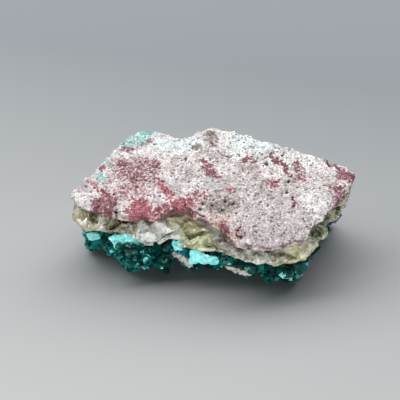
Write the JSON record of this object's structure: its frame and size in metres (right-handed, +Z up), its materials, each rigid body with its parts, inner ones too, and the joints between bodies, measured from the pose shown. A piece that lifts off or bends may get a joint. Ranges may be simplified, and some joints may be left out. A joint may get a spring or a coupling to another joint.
{
  "type": "dioptase mineral specimen",
  "caption": "Rough mineral specimen: a pink and white rock crust on a honey calcite seam, resting on a druse of emerald dioptase crystals with turquoise chrysocolla ledges.",
  "frame": {"origin": "under the middle of the bounding box, on the surface that it rests on", "axes": "+X along the specimen's length to the right tip, +Y away from the viewer of the picture, +Z up"},
  "size_m": [0.0602, 0.0328, 0.0175],
  "materials": {
    "host_rock": "rough granular rock",
    "calcite": "translucent, glossy on its cleavage faces",
    "dioptase": "translucent, vitreous",
    "chrysocolla": "waxy, smooth",
    "late_calcite": "cloudy, vitreous"
  },
  "bodies": {
    "root": {"host_rock": "host_rock", "calcite_seam": "calcite", "dioptase_druse": "dioptase", "chrysocolla_ledge_left_end": "chrysocolla", "chrysocolla_ledge_left": "chrysocolla", "chrysocolla_ledge_notch": "chrysocolla", "chrysocolla_ledge_middle": "chrysocolla", "chrysocolla_ledge_right": "chrysocolla", "late_calcite_left": "late_calcite", "late_calcite_right": "late_calcite"}
  },
  "joints": []
}
